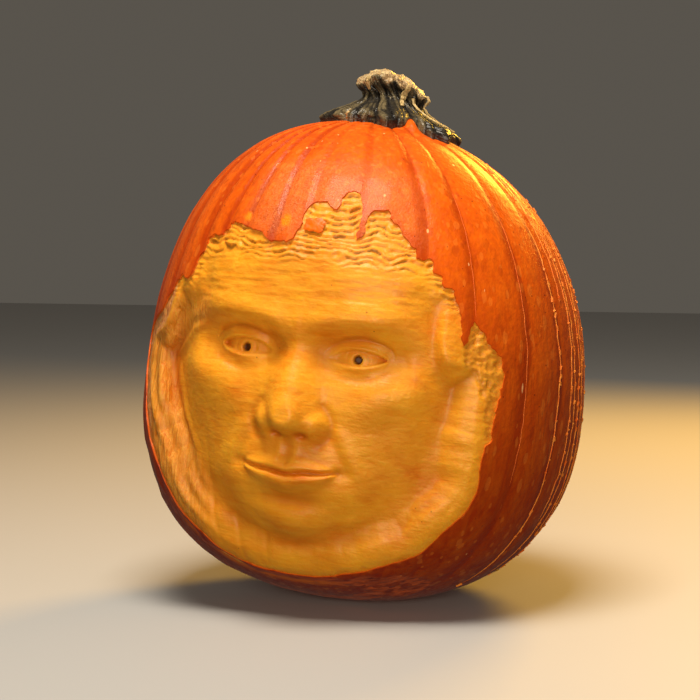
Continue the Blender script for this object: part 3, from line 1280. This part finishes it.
def fibre_effect():
    """Streaks drawn out along one direction, which the mapping before it sets."""
    group, given, out = effect("fibres", {"Scale": 100.0}, ("Streak",))
    broad = wire(
        group, "TexNoise", Vector=given["Vector"], Scale=given["Scale"], Detail=5.0, Distortion=0.6
    )
    group.links.new(spread(group, broad.outputs["Fac"], 0.33, 0.67), out["Streak"])
    return group


MOTTLE = mottle_effect()
SPECKS = speck_effect()
FIBRE_STREAKS = fibre_effect()


def placed_effect(tree, group, **inputs):
    made = wire(tree, "Group", {"node_tree": group}, **inputs)
    return made.outputs


def mottled(tree, vector, blotch_scale, grain_scale):
    given = {"Vector": vector, "Blotch_Scale": blotch_scale, "Grain_Scale": grain_scale}
    masks = placed_effect(tree, MOTTLE, **given)
    return masks["Blotch"], masks["Grain"]


def specked(tree, vector, scale, size, share):
    return placed_effect(tree, SPECKS, Vector=vector, Scale=scale, Size=size, Share=share)["Mask"]


def streaked(tree, vector, scale):
    return placed_effect(tree, FIBRE_STREAKS, Vector=vector, Scale=scale)["Streak"]


def plain_paint(name, **plain):
    """A material with one Principled shader and its plain values set."""
    made = bpy.data.materials.new(name)
    made.use_nodes = True
    shader = made.node_tree.nodes["Principled BSDF"]
    for socket, value in plain.items():
        shader.inputs[socket.replace("_", " ")].default_value = value
    return made, made.node_tree, shader


def finish(name, **plain):
    """A material with one Principled shader, its plain values set, and the pumpkin's own frame."""
    made, tree, shader = plain_paint(name, **plain)
    own = wire(
        tree, "Mapping", {"vector_type": "TEXTURE"}, Vector=wire(tree, "TexCoord").outputs["Object"],
        Location=STANDING.translation, Rotation=STANDING.to_euler(),
    ).outputs["Vector"]
    return made, tree, shader, own


def coat(tree, shader, tone, bumps, rough=None):
    """Links a tone, a roughness and bumps to a material's shader."""
    tree.links.new(tone, shader.inputs["Base Color"])
    tree.links.new(bumped(tree, bumps), shader.inputs["Normal"])
    if rough is not None:
        tree.links.new(rough, shader.inputs["Roughness"])


def rind_finish():
    made, tree, shader, own = finish(
        "rind", Coat_Weight=0.10, Coat_Roughness=0.14, Specular_IOR_Level=0.14,
    )
    blotch, grain = mottled(tree, own, 42.0, 360.0)
    upright = stretched(tree, own, (1.0, 1.0, 0.22))
    slanted = stretched(tree, own, (1.0, 1.0, 0.40), (0.35, 0.25, 0.0))
    streaks = streaked(tree, upright, 170.0)
    dashes = streaked(tree, slanted, 380.0)
    freckles = specked(tree, own, 420.0, 0.26, 0.16)
    crinkles = sums(tree, "MULTIPLY", streaked(tree, own, 900.0), marked(tree, "crinkled"))
    wobble = spread(tree, blotch, 0.0, 1.0, -0.02, 0.02)
    near = sums(tree, "ABSOLUTE", sums(tree, "ADD", marked(tree, "near_groove"), wobble))
    line = spread(tree, near, 0.02, 0.085, 1.0, 0.0)
    line = sums(tree, "MULTIPLY", line, marked(tree, "groove"), clamp=True)
    shavings = streaked(tree, stretched(tree, own, (0.25, 1.0, 1.0)), 300.0)
    shaved_tone = blend(tree, shavings, colour(112, 18, 2), colour(230, 100, 36))
    height = wire(tree, "SeparateXYZ", Vector=own).outputs["Z"]
    skin = blend(tree, spread(tree, height, -0.12, 0.10), colour(122, 16, 0), colour(242, 102, 8))
    skin = tinted(tree, skin, (
        (blotch, 0.34, (156, 34, 0)),
        (streaks, 0.20, (255, 134, 20)),
        ("groove", 0.12, (160, 36, 0)),
        (line, 0.55, (140, 26, 0)),
        (grain, 0.16, (140, 28, 0)),
        (dashes, 0.30, (160, 36, 0)),
        (specked(tree, slanted, 230.0, 0.75, 0.30), 0.22, (140, 34, 2)),
        (specked(tree, slanted, 290.0, 0.70, 0.28), 0.20, (255, 146, 50)),
        (freckles, 0.75, (112, 30, 4)),
        (specked(tree, upright, 300.0, 0.26, 0.05), 0.80, (252, 186, 120)),
        (crinkles, 0.25, (255, 170, 110)),
        ("hole", 0.90, (52, 22, 8)),
        ("shaved", 0.80, shaved_tone),
        ("thin", 1.0, (252, 132, 16)),
        ("edge", 0.20, (184, 52, 6)),
        ("cut", 1.0, (228, 112, 30)),
    ))
    rough = spread(tree, grain, 0.0, 1.0, 0.32, 0.50)
    rough = sums(tree, "ADD", rough, sums(tree, "MULTIPLY", marked(tree, "cut"), 0.2), clamp=True)
    bumps = (
        (grain, 0.00014, 1.0),
        (streaks, 0.00012, 1.0),
        (dashes, 0.00010, 1.0),
        (crinkles, 0.00028, 1.0),
        (freckles, 0.0002, 0.5),
    )
    coat(tree, shader, skin, bumps, rough)
    return made


def flesh_finish():
    made, tree, shader, own = finish(
        "flesh", Coat_Weight=0.14, Coat_Roughness=0.34, Specular_IOR_Level=0.20,
        Subsurface_Weight=0.30, Subsurface_Scale=0.004, Subsurface_Radius=(1.0, 0.42, 0.10),
    )
    blotch, grain = mottled(tree, own, 36.0, 420.0)
    wall = marked(tree, "wall")
    off_wall = sums(tree, "SUBTRACT", 1.0, wall, clamp=True)
    streaks, broad, scratches = (
        sums(tree, "MULTIPLY", streaked(tree, stretched(tree, own, stretch), scale), share)
        for stretch, scale, share in (
            ((0.16, 0.5, 1.0), 420.0, off_wall),
            ((0.35, 0.5, 1.0), 95.0, off_wall),
            ((1.0, 1.0, 0.14), 520.0, wall),
        )
    )
    tone = blend(tree, blotch, colour(220, 114, 6), colour(250, 166, 30))
    tone = tinted(tree, tone, (
        (broad, 0.55, (250, 170, 36)),
        (streaks, 0.35, (252, 184, 58)),
        ("chipped", 0.50, (228, 140, 34)),
        ("torn", 0.55, (222, 142, 42)),
        (wall, 0.60, (198, 112, 22)),
        (scratches, 0.60, (246, 178, 76)),
        ("hollow", 0.80, (190, 88, 6)),
        ("edge", 0.30, (220, 112, 30)),
        ("raw", 0.85, blend(tree, grain, colour(206, 104, 48), colour(232, 168, 96))),
        ("gap", 0.62, (112, 70, 14)),
        (specked(tree, own, 230.0, 0.15, 0.18), 0.60, (144, 78, 14)),
        ("pupil", 0.92, (50, 20, 5)),
    ))
    bumps = ((streaks, 0.00012, 1.0), (grain, 0.00012, 1.0), (broad, 0.0002, 1.0), (scratches, 0.0005, 1.0))
    coat(tree, shader, tone, bumps, spread(tree, grain, 0.0, 1.0, 0.36, 0.58))
    return made


def seam_finish():
    made, tree, shader, own = finish("seams", Roughness=0.55, Specular_IOR_Level=0.30)
    blotch, grain = mottled(tree, own, 160.0, 900.0)
    cork = blend(tree, blotch, colour(232, 98, 14), colour(254, 158, 58))
    tone = blend(tree, marked(tree, "corky"), colour(226, 92, 24), cork)
    coat(tree, shader, tone, ((grain, 0.0003, 1.0),))
    return made


def stem_finish():
    made, tree, shader, own = finish(
        "stem", Coat_Weight=0.35, Coat_Roughness=0.20, Specular_IOR_Level=0.22,
    )
    blotch, grain = mottled(tree, own, 170.0, 900.0)
    streaks = streaked(tree, stretched(tree, own, (1.0, 1.0, 0.3)), 480.0)
    bark = tinted(tree, blend(tree, blotch, colour(20, 14, 8), colour(46, 38, 23)), (
        (streaks, 0.32, (82, 72, 48)),
        ("crest", 0.60, (156, 136, 94)),
        ("furrow", 0.90, (18, 11, 6)),
        ("toe", 0.40, (120, 52, 20)),
        (grain, 0.45, (14, 9, 5)),
    ))
    cut = blend(tree, blotch, colour(150, 112, 66), colour(244, 216, 164))
    tone = blend(tree, marked(tree, "top"), bark, cut)
    bumps = ((streaks, 0.0009, 1.0), (grain, 0.0006, 1.0))
    coat(tree, shader, tone, bumps, spread(tree, grain, 0.0, 1.0, 0.45, 0.80))
    return made


def fibre_finish():
    made, tree, shader, own = finish("stem_fibres", Roughness=0.7)
    streaks = streaked(tree, stretched(tree, own, (1.0, 1.0, 0.2)), 600.0)
    tone = blend(tree, streaks, colour(150, 124, 70), colour(222, 190, 132))
    coat(tree, shader, tone, ((streaks, 0.0004, 1.0),))
    return made


# ---------------------------------------------------------------- light, floor and camera
def placed_viewer(thing, back, distance):
    """Puts a lamp or camera out along a direction from the pumpkin's middle."""
    made = bpy.data.objects.new(thing.name, thing)
    bpy.context.scene.collection.objects.link(made)
    made.location = STANDING.translation + back * distance
    return made


def camera():
    sight = bpy.data.cameras.new("camera")
    sight.lens = CAMERA_LENS
    back = Vector(heading(CAMERA_AZIMUTH, CAMERA_RISE))
    viewer = placed_viewer(sight, back, CAMERA_DISTANCE)
    azimuth = math.radians(CAMERA_AZIMUTH)
    right = Vector((math.cos(azimuth), math.sin(azimuth), 0))
    aim = STANDING.translation + right * CAMERA_AIM[0] + back.cross(right) * CAMERA_AIM[1]
    viewer.rotation_euler = (aim - viewer.location).to_track_quat("-Z", "Y").to_euler()
    bpy.context.scene.camera = viewer


def lamp(name, azimuth, rise, distance, size, power, tint):
    """A square soft light aimed at the pumpkin's middle."""
    light = bpy.data.lights.new(name, "AREA")
    light.size = size
    light.energy = power
    light.color = tint
    back = Vector(heading(azimuth, rise))
    made = placed_viewer(light, back, distance)
    made.rotation_euler = (-back).to_track_quat("-Z", "Y").to_euler()


def studio():
    bpy.ops.mesh.primitive_plane_add(size=FLOOR_SIZE)
    floor = named("floor")
    floor.data.materials.append(plain_paint("floor", Base_Color=FLOOR_TONE, Roughness=0.6)[0])
    floor.visible_diffuse = False
    floor.visible_glossy = False
    world = bpy.data.worlds.new("studio")
    world.use_nodes = True
    sky = world.node_tree.nodes["Background"].inputs
    sky["Color"].default_value = SKY_TONE
    sky["Strength"].default_value = SKY_STRENGTH
    bpy.context.scene.world = world
    for row in LAMPS:
        lamp(*row)
    bpy.context.scene.view_settings.view_transform = "Standard"


def wear(piece, material):
    piece.data.materials.clear()
    piece.data.materials.append(material)
    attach(piece, "root")


def main():
    rind = make_rind()
    flesh = make_flesh()
    seams = make_seams()
    scrap = make_scrap()
    stem = make_stem()
    fibres = make_stem_fibres()
    skin = rind_finish()
    wear(rind, skin)
    wear(flesh, flesh_finish())
    wear(scrap, skin)
    wear(seams, seam_finish())
    wear(stem, stem_finish())
    wear(fibres, fibre_finish())
    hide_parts("pumpkin")
    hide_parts("pumpkin")
    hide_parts("stem")
    studio()
    camera()


main()
